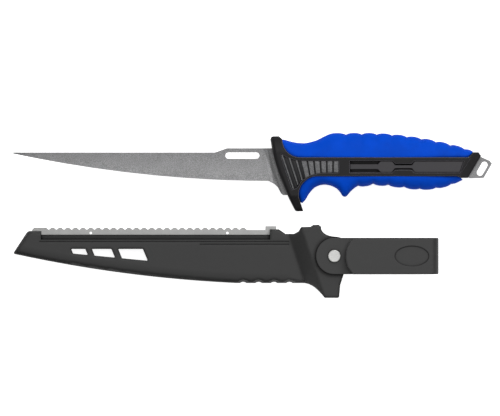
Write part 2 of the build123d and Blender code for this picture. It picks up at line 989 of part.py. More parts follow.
with BuildPart() as belt_clip:
    with BuildSketch(sheath_plane.offset(clip_floor)):
        with Locations((rivet_x, rivet_y)):
            Circle(eye_radius)
        with Locations(((rivet_x + bend_x) / 2, rivet_y)):
            Rectangle(bend_x - rivet_x, 2 * eye_radius)
        with Locations((rivet_x, rivet_y)):
            Circle(shank_radius + turn_fit, mode=Mode.SUBTRACT)
    extrude(amount=clip_thickness)
    with BuildSketch(leaning(sheath_plane, bend_x, rivet_y, 0)):
        with Locations((0, clip_floor + bend_radius)):
            Circle(bend_radius)
            Circle(clip_gap / 2, mode=Mode.SUBTRACT)
        with Locations((-bend_radius, clip_floor + bend_radius)):
            Rectangle(2 * bend_radius, 3 * bend_radius, mode=Mode.SUBTRACT)
    extrude(amount=eye_radius, both=True)
    tongue_round = tongue_radius - math.sqrt(tongue_radius**2 - eye_radius**2)
    tongue_side = tongue_start + tongue_round
    with BuildSketch(sheath_plane.offset(tongue_floor)):
        with BuildLine():
            high = rivet_y + eye_radius
            low = rivet_y - eye_radius
            SagittaArc((tongue_side, high), (tongue_side, low), -tongue_round)
            Polyline(
                (tongue_side, low), (bend_x, low), (bend_x, high), (tongue_side, high)
            )
        make_face()
    extrude(amount=clip_thickness)
    with BuildSketch(sheath_plane.offset(tongue_floor + clip_thickness - thumb_depth)):
        with Locations((clip_reach - thumb_back, rivet_y)):
            Ellipse(thumb_length / 2, thumb_width / 2)
    extrude(amount=thumb_depth + over, mode=Mode.SUBTRACT)
    outside = [clip_floor, tongue_floor + clip_thickness]
    outside = [sheath_rear_depth + level for level in outside]
    rims = belt_clip.edges().filter_by(Axis.X) + belt_clip.edges().filter_by(GeomType.CIRCLE)
    rims = [e for e in rims if min(abs(e.center().Z - z) for z in outside) < clip_rest]
    rims = [e for e in rims if e.length > eye_radius + clip_gap]
    bends = belt_clip.edges().filter_by(GeomType.CIRCLE)
    rims += [e for e in bends if abs(e.radius - bend_radius) < clip_rest]
    fillet(rims, clip_round)
belt_clip.part.label = "belt_clip"
export_step(belt_clip.part, "parts/belt_clip.step")

head_floor = clip_floor + clip_thickness + turn_fit
tail_head_floor = tab_floor + turn_fit

with BuildPart() as clip_rivet:
    with BuildSketch(sheath_plane.offset(tail_head_floor)):
        with Locations((rivet_x, rivet_y)):
            Circle(tail_head_radius)
    extrude(amount=tail_head_height)
    with BuildSketch(sheath_plane.offset(tail_head_floor)):
        with Locations((rivet_x, rivet_y)):
            Circle(shank_radius)
    extrude(amount=head_floor - tail_head_floor)
    with BuildSketch(sheath_plane.offset(head_floor)):
        with Locations((rivet_x, rivet_y)):
            Circle(head_radius)
    extrude(amount=head_height)
    fillet(clip_rivet.edges().group_by(Axis.Z)[-1], head_round)
clip_rivet.part.label = "clip_rivet"
export_step(clip_rivet.part, "parts/clip_rivet.step")

with BuildPart() as rivet_washer:
    with BuildSketch(sheath_plane.offset(washer_seat - washer_thickness)):
        with Locations((rivet_x, rivet_y)):
            Circle(washer_radius)
            Circle(shank_radius + pin_fit, mode=Mode.SUBTRACT)
    extrude(amount=washer_thickness)
rivet_washer.part.label = "rivet_washer"
export_step(rivet_washer.part, "parts/rivet_washer.step")
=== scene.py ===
"""Fillet knife beside its sheath: finishes, soft-touch grips, ribbed pads and a studio.

Metres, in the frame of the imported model: X from the tip to the tail, Y from the
edge to the spine, Z up from the table. Positions on the knife and on the sheath
are given in millimetres from the guard's front and from the same place of the
sheath, as a maker would measure them.
"""

import math

import bpy
from bpy.props import FloatProperty, FloatVectorProperty, IntProperty, PointerProperty
from mathutils import Matrix, Vector


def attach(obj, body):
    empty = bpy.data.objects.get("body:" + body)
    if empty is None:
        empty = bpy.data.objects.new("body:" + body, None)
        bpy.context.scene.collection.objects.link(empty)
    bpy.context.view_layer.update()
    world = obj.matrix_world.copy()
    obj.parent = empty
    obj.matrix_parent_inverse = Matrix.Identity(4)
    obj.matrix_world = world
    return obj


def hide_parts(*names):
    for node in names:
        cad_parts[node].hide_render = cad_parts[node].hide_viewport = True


bl_info = {
    "name": "Fillet Knife Looks",
    "version": (1, 0, 0),
    "blender": (4, 5, 0),
    "location": "3D View > Sidebar > Knife",
    "description": "Finishes, grips, pads and a studio for a fillet knife and its sheath",
    "category": "Object",
}

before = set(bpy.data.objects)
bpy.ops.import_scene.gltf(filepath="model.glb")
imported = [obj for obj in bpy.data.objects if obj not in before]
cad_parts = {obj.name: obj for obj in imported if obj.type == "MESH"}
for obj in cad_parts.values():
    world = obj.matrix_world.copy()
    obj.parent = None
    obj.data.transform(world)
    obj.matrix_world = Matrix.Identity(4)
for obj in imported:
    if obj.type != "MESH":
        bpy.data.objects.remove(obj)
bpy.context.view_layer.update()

MM = 0.001
# The places that sizes are measured from, in millimetres: the guard's front on the
# knife's axis and middle plane, and the same place of the knife in the sheath.
KNIFE_AT = (13.45, 33.15, 10.5)
SHEATH_AT = (49.85, -28.65, 7.5)
KNIFE = Vector(KNIFE_AT) * MM
# Edges that turn by more than this count as sharp.
SHARP = math.radians(40)


def linear(code):
    """Linear colour from an sRGB hex code."""
    parts = [int(code[at : at + 2], 16) / 255 for at in (0, 2, 4)]
    return [v / 12.92 if v <= 0.04045 else ((v + 0.055) / 1.055) ** 2.4 for v in parts]


def colour(name, description, code):
    """Colour property that starts at an sRGB hex code."""
    return FloatVectorProperty(
        name=name,
        description=description,
        subtype="COLOR",
        size=3,
        min=0,
        max=1,
        default=linear(code),
    )


def length(name, description, value):
    """Length property that starts at a value in millimetres."""
    return FloatProperty(
        name=name, description=description, default=value * MM, min=0, unit="LENGTH"
    )


class KnifeFinishes(bpy.types.PropertyGroup):
    """Colours of the knife and of the sheath."""

    blade: colour("Blade", "Blasted and coated blade steel", "8E8E8F")
    nylon: colour("Core", "Moulded nylon of the handle cores", "151416")
    grip: colour("Grip", "Soft overmould of the handle", "0048C8")
    # The pad colour is a painted highlight on the tops of the ribs.
    pad: colour("Pad", "Worn tops of the pad's ribs", "7B7B7D")
    valley: colour("Pad valleys", "Rubber between the ribs", "161618")
    insert: colour("Insert", "Insert in the handle's rail", "312F33")
    sheath: colour("Sheath", "Moulded shells of the sheath", "303030")
    clip: colour("Clip", "Moulded belt clip", "343434")
    strip: colour("Scaler", "Blasted stainless scaler strip", "9A9A99")
    rivet: colour("Rivet", "Satin rivet and pins", "BCBCBA")


class KnifeDetail(bpy.types.PropertyGroup):
    """Sizes of the pieces that are modelled here."""

    crest_rise: length("Crest rise", "How far each scallop bulges", 1.1)
    lip: length("Grip lip", "Rounding of the grips where they meet the core", 0.8)
    edge: length("Insert edge", "Rounding of the edges of the rail inserts", 0.25)
    rib: length("Rib rounding", "Rounding of the pad's ribs", 0.12)
    section: IntProperty(
        name="Section", description="Points round half a grip", default=28, min=8
    )


class StudioSetup(bpy.types.PropertyGroup):
    """Camera and light."""

    lens: FloatProperty(name="Lens", description="Focal length in mm", default=400)
    width: length("Frame width", "Width of the picture on the knife's plane", 343.5)
    middle: FloatVectorProperty(
        name="Frame middle",
        description="Point at the middle of the picture",
        subtype="TRANSLATION",
        size=3,
        default=(-0.00166, 0.0049, 0.0105),
    )
    top: FloatProperty(name="Top", description="Power of the softbox overhead", default=60)
    key: FloatProperty(name="Key", description="Power of the far softbox", default=22)
    fill: FloatProperty(name="Fill", description="Power of the low softboxes", default=3.5)
    sky: FloatProperty(name="Sky", description="Strength of the room's light", default=0.12)


def add(tree, kind, values=None, links=None, **settings):
    """Adds a node with its settings, its input values and what feeds it."""
    made = tree.nodes.new("ShaderNode" + kind)
    for name, value in settings.items():
        setattr(made, name, value)
    for name, value in (values or {}).items():
        made.inputs[name].default_value = value
    for name, source in (links or {}).items():
        tree.links.new(source, made.inputs[name])
    return made


def rgba(value):
    """Opaque colour for a shader's socket."""
    return (*value[:3], 1.0)


def start_material(name):
    """Empty material with its output, and the object's coordinates in millimetres."""
    made = bpy.data.materials.new(name)
    made.use_nodes = True
    tree = made.node_tree
    tree.nodes.clear()
    place = add(tree, "TexCoord")
    scale = {"Scale": (1 / MM, 1 / MM, 1 / MM)}
    place = add(tree, "Mapping", scale, {"Vector": place.outputs["Object"]})
    return made, tree, place.outputs["Vector"]


def finish_material(tree, shader):
    """Feeds the shader to the material's output."""
    output = add(tree, "OutputMaterial", None, {"Surface": shader.outputs[0]})
    output.is_active_output = True


def beside_line(tree, place, lean, soft):
    """Mask that is 1 on the guard's side of a line through the plunge's upper end."""
    parts = add(tree, "SeparateXYZ", None, {"Vector": place})
    ends = {0: parts.outputs["Y"], 2: parts.outputs["X"]}
    level = add(tree, "Math", {1: lean}, ends, operation="MULTIPLY_ADD")
    upper_end = (KNIFE_AT[0] - 5.8, KNIFE_AT[1] + 11.6)
    line = upper_end[0] + lean * upper_end[1]
    edge = {"From Min": line - soft, "From Max": line + soft}
    mask = add(tree, "MapRange", edge, {"Value": level.outputs[0]})
    return mask.outputs[0]


def blade_shade_and_highlight(tree, place):
    """Tone of the ground blade: a painted highlight at the plunge, painted shade towards the
    spine, and darker past the ricasso's line, on the tang's end too.
    """
    # Each line's lean, the softness of its edge in mm and the change of tone past it. The rise
    # at the plunge is a painted highlight.
    plunge = (0.218, 0.4, 0.16)
    ricasso = (0.398, 0.3, -0.37)
    parts = add(tree, "SeparateXYZ", None, {"Vector": place})
    # Towards the spine the tone fades darker, as painted shade.
    belly_y, spine_y, spine_shade = KNIFE_AT[1] - 2, KNIFE_AT[1] + 10, 0.82
    fade = {"From Min": belly_y, "From Max": spine_y, "To Min": 1.0, "To Max": spine_shade}
    tone = add(tree, "MapRange", fade, {"Value": parts.outputs["Y"]})
    for lean, soft, change in (plunge, ricasso):
        sources = {0: beside_line(tree, place, lean, soft), 2: tone.outputs[0]}
        tone = add(tree, "Math", {1: change}, sources, operation="MULTIPLY_ADD")
    return tone.outputs[0]


def shell_shade(tree, place):
    """Painted shade on the sheath's shells: on the shelf below the strip and at the belly.

    The belly's line bows from the nose to the body's end, so its height is a square
    of the share of the way along.
    """
    nose, nose_floor = SHEATH_AT[0] - 214.4, SHEATH_AT[1] + 2.2
    body_end = SHEATH_AT[0] - 61.1
    drop, bow = 20.2, 13.2
    roll_height, roll_shade = 7.5, 0.2
    collar_from, collar_to = 1.1, 1.25
    parts = add(tree, "SeparateXYZ", None, {"Vector": place})
    span = {"From Min": nose, "From Max": body_end}
    along = add(tree, "MapRange", span, {"Value": parts.outputs["X"]}, clamp=False)
    along = along.outputs[0]
    slope = add(tree, "Math", {1: bow, 2: -drop - bow}, {0: along}, operation="MULTIPLY_ADD")
    line = {0: slope.outputs[0], 1: along}
    line = add(tree, "Math", {2: nose_floor}, line, operation="MULTIPLY_ADD")
    rise = {0: parts.outputs["Y"], 1: line.outputs[0]}
    rise = add(tree, "Math", None, rise, operation="SUBTRACT")
    # The belly darkens where it rolls away from the light: painted shade.
    roll = {"From Max": roll_height, "To Min": roll_shade}
    belly = add(tree, "MapRange", roll, {"Value": rise.outputs[0]})
    collar = {"From Min": collar_from, "From Max": collar_to}
    collar = add(tree, "MapRange", collar, {"Value": along})
    tone = {0: belly.outputs[0], 1: collar.outputs[0]}
    tone = add(tree, "Math", None, tone, operation="MAXIMUM")

    # The shelf under the strip is darkened as painted shade.
    shelf = {"X": (-194.9, -37.8), "Y": (11.9, 15.4), "Z": (4.0, 6.0)}
    shelf_shade = -0.75
    slabs = []
    for axis, origin in zip("XYZ", SHEATH_AT):
        low, high = shelf[axis]
        slab = {1: origin + (low + high) / 2, 2: (high - low) / 2}
        slabs.append(add(tree, "Math", slab, {0: parts.outputs[axis]}, operation="COMPARE"))
    mask = slabs[0]
    for slab in slabs[1:]:
        both = {0: mask.outputs[0], 1: slab.outputs[0]}
        mask = add(tree, "Math", None, both, operation="MULTIPLY")
    sources = {0: mask.outputs[0], 2: tone.outputs[0]}
    tone = add(tree, "Math", {1: shelf_shade}, sources, operation="MULTIPLY_ADD")
    return tone.outputs[0]


def times(tree, tone, share):
    """Colour multiplied by a share."""
    return add(tree, "VectorMath", None, {0: tone, 1: share}, operation="MULTIPLY").outputs[0]


def blasted_steel(name, base, speck, rough, metal_share, fleck_mm, ground=False):
    """Steel blasted with fine grit: a matt sparkle of light and dark flecks."""
    made, tree, place = start_material(name)
    links = {"Vector": place}
    fine = add(tree, "TexNoise", {"Scale": 1 / fleck_mm, "Detail": 3.0, "Roughness": 0.7}, links)
    broad = add(tree, "TexNoise", {"Scale": 0.09, "Detail": 4.0, "Roughness": 0.6}, links)
    spread = {"From Min": 0.3, "From Max": 0.7}
    spread = add(tree, "MapRange", spread, {"Value": fine.outputs["Fac"]})
    low = rgba([v * (1 - speck) for v in base])
    high = rgba([min(1.0, v * (1 + speck)) for v in base])
    flecks = add(tree, "Mix", {6: low, 7: high}, {0: spread.outputs[0]}, data_type="RGBA")
    cloud = {"From Min": 0.35, "From Max": 0.65, "To Min": 0.93, "To Max": 1.05}
    cloud = add(tree, "MapRange", cloud, {"Value": broad.outputs["Fac"]})
    tone = times(tree, flecks.outputs[2], cloud.outputs[0])
    if ground:
        tone = times(tree, tone, blade_shade_and_highlight(tree, place))
    gloss = {"To Min": rough - 0.1, "To Max": rough + 0.1}
    gloss = add(tree, "MapRange", gloss, {"Value": fine.outputs["Fac"]})
    pits = {"Strength": 0.35, "Distance": 0.1 * MM}
    bump = add(tree, "Bump", pits, {"Height": fine.outputs["Fac"]})
    links = {"Base Color": tone, "Roughness": gloss.outputs[0], "Normal": bump.outputs[0]}
    shader = add(tree, "BsdfPrincipled", {"Metallic": metal_share}, links)
    finish_material(tree, shader)
    return made


def moulded_plastic(
    name, base, rough, grain_mm, grain, level, rounding_mm, edge_highlight=0.0, shell=False
):
    """Plastic moulded in a spark-eroded tool: an even, fine pebble grain.

    The rounding is the small radius that the tool leaves on every edge; the edge
    highlight sets how strongly a pale painted highlight is mixed in along it.
    The corners carry painted shade, which darkens their colour and their shine.
    """
    made, tree, place = start_material(name)
    links = {"Vector": place}
    pebble = add(tree, "TexNoise", {"Scale": 1 / grain_mm, "Detail": 2.0}, links)
    cloud = add(tree, "TexNoise", {"Scale": 0.06, "Detail": 5.0, "Roughness": 0.6}, links)
    tint = {"From Min": 0.3, "From Max": 0.7}
    tint = add(tree, "MapRange", tint, {"Value": cloud.outputs["Fac"]})
    low = rgba([v * 0.9 for v in base])
    high = rgba([min(1.0, v * 1.1) for v in base])
    tone = add(tree, "Mix", {6: low, 7: high}, {0: tint.outputs[0]}, data_type="RGBA")
    gloss = {"To Min": rough - 0.08, "To Max": rough + 0.08}
    gloss = add(tree, "MapRange", gloss, {"Value": cloud.outputs["Fac"]})

    # Edges are found from the bevel's normal, and the pale line mixed in there is a painted
    # highlight.
    edges = add(tree, "Bevel", {"Radius": rounding_mm * MM}, samples=6)
    flat = add(tree, "NewGeometry")
    sides = {0: edges.outputs[0], 1: flat.outputs["Normal"]}
    turn = add(tree, "VectorMath", None, sides, operation="DOT_PRODUCT")
    painted_highlight = {"From Min": 0.97, "From Max": 0.8, "To Max": edge_highlight}
    painted_highlight = add(tree, "MapRange", painted_highlight, {"Value": turn.outputs["Value"]})
    highlight_colour = rgba([0.22, 0.21, 0.24])
    sources = {0: painted_highlight.outputs[0], 6: tone.outputs[2]}
    tone = add(tree, "Mix", {7: highlight_colour}, sources, data_type="RGBA")

    # Ambient occlusion darkens the colour and the shine in corners and creases: painted shade.
    corner = add(tree, "AmbientOcclusion", {"Distance": 3.5 * MM}, samples=6)
    corner_shade = {"From Min": 0.45, "From Max": 0.9, "To Min": 0.05}
    corner_shade = add(tree, "MapRange", corner_shade, {"Value": corner.outputs["AO"]})
    tone = times(tree, tone.outputs[2], corner_shade.outputs[0])
    # The sheath's shells also get painted shade at the belly and on the shelf.
    if shell:
        tone = times(tree, tone, shell_shade(tree, place))
    shine = add(tree, "Math", {1: level}, {0: corner_shade.outputs[0]}, operation="MULTIPLY")
    pits = {"Strength": grain, "Distance": 0.1 * MM}
    sources = {"Height": pebble.outputs["Fac"], "Normal": edges.outputs[0]}
    bump = add(tree, "Bump", pits, sources)
    links = {
        "Base Color": tone,
        "Roughness": gloss.outputs[0],
        "Specular IOR Level": shine.outputs[0],
        "Normal": bump.outputs[0],
    }
    finish_material(tree, add(tree, "BsdfPrincipled", None, links))
    return made


def ribbed_rubber(name, valley, painted_highlight):
    """Rubber with a woven mould texture, black between the ribs, with a painted grey highlight
    on their tops.
    """
    made, tree, place = start_material(name)
    parts = add(tree, "SeparateXYZ", None, {"Vector": place})
    off = {0: parts.outputs["Z"]}
    off = add(tree, "Math", {1: KNIFE_AT[2]}, off, operation="SUBTRACT")
    off = add(tree, "Math", None, {0: off.outputs[0]}, operation="ABSOLUTE")
    valley_height, top_height, weave_mm = 9.8, 10.38, 0.625
    top = {"From Min": valley_height, "From Max": top_height}
    top = add(tree, "MapRange", top, {"Value": off.outputs[0]})
    weave = {"Scale": 1 / weave_mm, "Detail": 3.0, "Roughness": 0.7}
    weave = add(tree, "TexNoise", weave, {"Vector": place})
    mottle = {"From Min": 0.35, "From Max": 0.65, "To Min": 0.35}
    mottle = add(tree, "MapRange", mottle, {"Value": weave.outputs["Fac"]})
    # The rib tops get a painted highlight, mottled by the weave.
    highlight_mask = {0: top.outputs[0], 1: mottle.outputs[0]}
    highlight_mask = add(tree, "Math", None, highlight_mask, operation="MULTIPLY")
    colours = {6: rgba(valley), 7: rgba(painted_highlight)}
    tone = add(tree, "Mix", colours, {0: highlight_mask.outputs[0]}, data_type="RGBA")
    pits = {"Strength": 0.6, "Distance": 0.2 * MM}
    bump = add(tree, "Bump", pits, {"Height": weave.outputs["Fac"]})
    surface = {"Roughness": 0.6, "Specular IOR Level": 0.25}
    links = {"Base Color": tone.outputs[2], "Normal": bump.outputs[0]}
    finish_material(tree, add(tree, "BsdfPrincipled", surface, links))
    return made


def dress(node, material, edge=0.0):
    """Gives a CAD node its material, and breaks its sharp edges where a width is given."""
    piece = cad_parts[node]
    piece.data.materials.clear()
    piece.data.materials.append(material)
    if edge:
        weld = piece.modifiers.new("Weld", "WELD")
        weld.merge_threshold = 0.002 * MM
        flat = piece.modifiers.new("Flat faces", "DECIMATE")
        flat.decimate_type = "DISSOLVE"
        flat.angle_limit = math.radians(0.5)
        rounding = piece.modifiers.new("Edge break", "BEVEL")
        rounding.width = edge
        rounding.segments = 2
        rounding.limit_method = "ANGLE"
        rounding.angle_limit = SHARP


def select_only(piece):
    """Leaves one piece selected and active."""
    bpy.ops.object.select_all(action="DESELECT")
    piece.select_set(True)
    bpy.context.view_layer.objects.active = piece


def apply_modifiers(piece):
    """Makes a piece's modifiers part of its mesh."""
    select_only(piece)
    for modifier in list(piece.modifiers):
        bpy.ops.object.modifier_apply(modifier=modifier.name)


def smooth_line(points, steps):
    """Rows of numbers that run smoothly through the given rows."""
    padded = [points[0], *points, points[-1]]
    line = []
    for a, b, c, d in zip(padded, padded[1:], padded[2:], padded[3:]):
        for step in range(steps):
            t = step / steps
            row = []
            for p, q, r, s in zip(a, b, c, d):
                bend = (2 * p - 5 * q + 4 * r - s) * t * t + (3 * q - p - 3 * r + s) * t**3
                row.append(q + 0.5 * ((r - p) * t + bend))
            line.append(row)
    return [*line, list(points[-1])]


def sweep(name, rings, section=0):
    """Face that is extruded from ring to ring along the handle.

    A ring is two points and a height, in millimetres from the guard's front: the
    start of the face, its far side and its half thickness. With a section the face
    is a half round of that many points, and without it is a plain block that
    stands on the start's level.
    """

    def size(ring):
        start = Vector(ring[:2]).to_3d()
        reach = Vector(ring[2:4]).to_3d() - start
        return start * MM + KNIFE, math.atan2(reach.x, reach.y), reach.length, ring[4]

    def grow(along, thick, heading, place):
        bpy.ops.transform.resize(
            value=(1, along, thick),
            orient_type="GLOBAL",
            orient_matrix=Matrix.Rotation(-heading, 3, "Z"),
            orient_matrix_type="GLOBAL",
            center_override=place,
        )

    place, heading, reach, thick = size(rings[0])
    upright = (math.pi / 2, 0, math.pi / 2)
    bpy.ops.object.select_all(action="DESELECT")
    if section:
        bpy.ops.mesh.primitive_circle_add(
            vertices=2 * section, radius=MM, location=place, rotation=upright
        )
    else:
        corner = place + Vector((0, MM / 2, MM / 2))
        bpy.ops.mesh.primitive_plane_add(size=MM, location=corner, rotation=upright)
    piece = bpy.context.object
    piece.name = piece.data.name = name
    bpy.ops.object.transform_apply(location=True, rotation=True, scale=True)
    bpy.ops.object.mode_set(mode="EDIT")
    bpy.ops.mesh.select_all(action="SELECT")
    if section:
        bpy.ops.mesh.bisect(plane_co=place, plane_no=(0, 1, 0), clear_inner=True)
        bpy.ops.mesh.select_all(action="SELECT")
        bpy.ops.mesh.edge_face_add()
    bpy.ops.transform.rotate(value=heading, orient_axis="Z", center_override=place)
    grow(reach, thick, heading, place)
    for ring in rings[1:]:
        was = (place, heading, reach, thick)
        place, heading, reach, thick = size(ring)
        move = {"value": place - was[0]}
        bpy.ops.mesh.extrude_region_move(TRANSFORM_OT_translate=move)
        turn = heading - was[1]
        bpy.ops.transform.rotate(value=turn, orient_axis="Z", center_override=place)
        grow(reach / was[2], thick / was[3], heading, place)
    bpy.ops.mesh.select_all(action="SELECT")
    bpy.ops.mesh.normals_make_consistent(inside=False)
    bpy.ops.object.mode_set(mode="OBJECT")
    return piece


def round_edges(piece, width, degrees, segments=3):
    """Rounds the edges that turn by more than an angle, and shades the rest smooth."""
    rounding = piece.modifiers.new("Edge break", "BEVEL")
    rounding.width = width
    rounding.segments = segments
    rounding.limit_method = "ANGLE"
    rounding.angle_limit = math.radians(degrees)
    apply_modifiers(piece)
    bpy.ops.object.shade_smooth_by_angle(angle=SHARP)


def outline_block(name, points, low, high):
    """Upright block on an outline, from one height above the middle plane to another."""
    mesh = bpy.data.meshes.new(name)
    corners = [KNIFE + Vector((x, y, low)) * MM for x, y in points]
    mesh.from_pydata(corners, [], [range(len(corners))])
    piece = bpy.data.objects.new(name, mesh)
    bpy.context.scene.collection.objects.link(piece)
    select_only(piece)
    bpy.ops.object.mode_set(mode="EDIT")
    bpy.ops.mesh.select_all(action="SELECT")
    rise = {"value": (0, 0, (high - low) * MM)}
    bpy.ops.mesh.extrude_region_move(TRANSFORM_OT_translate=rise)
    bpy.ops.mesh.select_all(action="SELECT")
    bpy.ops.mesh.normals_make_consistent(inside=False)
    bpy.ops.object.mode_set(mode="OBJECT")
    return piece


def keep_inside(piece, block):
    """Cuts a piece down to what lies inside a block, and deletes the block."""
    cut = piece.modifiers.new("Inside", "BOOLEAN")
    cut.operation = "INTERSECT"
    cut.object = block
    cut.solver = "EXACT"
    apply_modifiers(piece)
    bpy.data.objects.remove(block)


def other_side(piece, name):
    """Mirrored copy of a piece on the handle's other side."""
    twin = piece.copy()
    twin.data = piece.data.copy()
    twin.name = twin.data.name = name
    bpy.context.scene.collection.objects.link(twin)
    select_only(twin)
    bpy.ops.object.mode_set(mode="EDIT")
    bpy.ops.mesh.select_all(action="SELECT")
    bpy.ops.transform.mirror(
        orient_type="GLOBAL", constraint_axis=(False, False, True), center_override=KNIFE
    )
    bpy.ops.mesh.normals_make_consistent(inside=False)
    bpy.ops.object.mode_set(mode="OBJECT")
    return twin


def scallops(valleys, rise, inner_y):
    """Rings over bulges that run from valley to valley along a straight rail.

    A valley is its place, its height and the grip's half thickness there.
    """
    rings = []
    steps = 10
    fullness = 2.6  # 2 is a parabola, and more is a flatter crest
    for start, end in zip(valleys, valleys[1:]):
        for step in range(steps):
            t = step / steps
            x, y, thick = (a + (b - a) * t for a, b in zip(start, end))
            bulge = rise * (1 - abs(2 * t - 1) ** fullness)
            rings.append((x, inner_y, x, y + math.copysign(bulge, y), thick))
    return rings


class KNIFE_OT_blade(bpy.types.Operator):
    """Blasted coating on the blade"""

    bl_idname = "knife.blade"
    bl_label = "Blade"

    def execute(self, context):
        finish = context.scene.knife_finishes
        # Ground, then blasted with coarse grit and coated: a matt grey that sparkles with
        # pale and dark flecks, with a painted highlight at the end of the grind, painted shade
        # towards the spine, and darker on the ricasso.
        # The real flecks are about 0.2 mm, drawn coarser to be seen.
        steel = blasted_steel(
            "blasted_coated_steel",
            finish.blade,
            speck=0.6,
            rough=0.5,
            metal_share=0.7,
            fleck_mm=0.5,
            ground=True,
        )
        dress("blade", steel)
        return {"FINISHED"}


class KNIFE_OT_cores(bpy.types.Operator):
    """Moulded nylon on the two handle cores"""

    bl_idname = "knife.cores"
    bl_label = "Handle cores"

    def execute(self, context):
        finish = context.scene.knife_finishes
        # Moulded in a spark-eroded tool: a deep matt black, with a painted highlight on the
        # rims. The pebbles are drawn coarser than the real 0.05 mm.
        nylon = moulded_plastic(
            "moulded_nylon",
            finish.nylon,
            rough=0.5,
            grain_mm=0.35,
            grain=0.25,
            level=0.2,
            rounding_mm=1.0,
            edge_highlight=0.7,
        )
        for side in ("left", "right"):
            dress("handle_core_" + side, nylon)
        return {"FINISHED"}


class KNIFE_OT_grips(bpy.types.Operator):
    """Soft overmould on the back and the belly of the handle"""

    bl_idname = "knife.grips"
    bl_label = "Grips"

    def execute(self, context):
        finish = context.scene.knife_finishes
        detail = context.scene.knife_detail
        # Soft rubber moulded over the cores in a blasted tool: a dense matt blue with
        # hardly a highlight. The grain is drawn coarser than the real 0.05 mm.
        soft = moulded_plastic(
            "overmoulded_rubber",
            finish.grip,
            rough=0.6,
            grain_mm=0.4,
            grain=0.3,
            level=0.05,
            rounding_mm=0.3,
        )
        rise = detail.crest_rise / MM
        rail = 6.4  # half the rail's height, where both grips start
        neck = [
            (6.8, 18.1, 7.3, 18.9, 6.5),
            (7.1, 15.4, 9.6, 18.4, 7.6),
            (8.4, 12.1, 12.8, 17.5, 8.4),
            (11.0, 9.2, 16.2, 16.8, 8.9),
            (14.9, 7.1, 19.4, 16.4, 9.2),
            (20.0, rail, 23.0, 16.4, 9.4),
            (26.0, rail, 27.0, 17.2, 9.6),
            (31.0, rail, 31.2, 18.6, 9.8),
            (35.0, rail, 35.1, 20.6, 9.9),
            (38.5, rail, 38.5, 22.2, 10.0),
        ]
        back_valleys = [
            (38.5, 22.2, 10.0),
            (50.8, 22.2, 10.1),
            (61.6, 22.3, 10.2),
            (72.0, 22.2, 10.3),
            (82.4, 21.6, 10.25),
            (92.7, 20.4, 10.15),
            (102.7, 18.9, 10.0),
            (112.6, 17.0, 9.6),
            (122.3, 14.8, 8.9),
            (132.2, 12.2, 7.7),
        ]
        back_end = [
            (132.2, rail, 132.2, 12.2, 7.7),
            (134.4, rail, 134.4, 12.1, 7.3),
            (136.2, 8.2, 136.4, 11.5, 6.9),
            (137.6, 9.9, 137.9, 10.6, 6.4),
        ]
        rings = smooth_line(neck, 4)[:-1]
        rings += scallops(back_valleys, rise, rail)
        rings += smooth_line(back_end, 2)
        back = sweep("back_overmould", rings, detail.section)

        choil = [
            (19.6, -24.4, 20.8, -24.9, 2.5),
            (18.4, -21.0, 23.2, -22.4, 5.0),
            (18.2, -17.8, 25.4, -18.6, 7.0),
            (19.0, -13.6, 28.6, -14.9, 8.2),
            (21.1, -10.1, 31.8, -13.1, 8.9),
            (24.9, -7.3, 34.6, -12.4, 9.3),
            (30.0, -6.0, 37.6, -12.4, 9.6),
            (36.0, -rail, 41.0, -13.2, 9.8),
            (41.0, -rail, 44.4, -15.0, 9.9),
            (45.2, -rail, 46.7, -17.4, 9.9),
            (47.6, -rail, 48.1, -19.6, 9.9),
            (49.3, -rail, 49.4, -20.5, 9.9),
            (50.9, -rail, 50.8, -20.4, 9.9),
            (52.4, -rail, 52.2, -19.2, 9.9),
            (54.4, -rail, 54.1, -16.9, 9.9),
            (57.0, -rail, 56.6, -14.7, 9.9),
            (59.2, -rail, 59.2, -13.0, 10.0),
        ]
        belly_valleys = [
            (59.2, -13.0, 10.0),
            (69.5, -11.6, 10.1),
            (79.8, -12.3, 10.2),
            (90.7, -13.7, 10.2),
            (101.4, -15.0, 10.1),
            (112.7, -14.3, 9.8),
            (123.0, -11.9, 9.0),
        ]
        belly_end = [
            (123.0, -rail, 123.0, -11.9, 9.0),
            (126.0, -rail, 126.0, -11.4, 8.5),
            (128.5, -6.7, 128.8, -10.1, 8.0),
            (130.4, -8.55, 130.9, -9.1, 7.5),
        ]
        rings = smooth_line(choil, 4)[:-1]
        rings += scallops(belly_valleys, rise, -rail)
        rings += smooth_line(belly_end, 2)
        belly = sweep("belly_overmould", rings, detail.section)

        for piece, node in ((back, "grip_back"), (belly, "grip_belly")):
            round_edges(piece, detail.lip, degrees=55)
            piece.data.materials.append(soft)
            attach(piece, "knife")
            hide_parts(node)
        return {"FINISHED"}


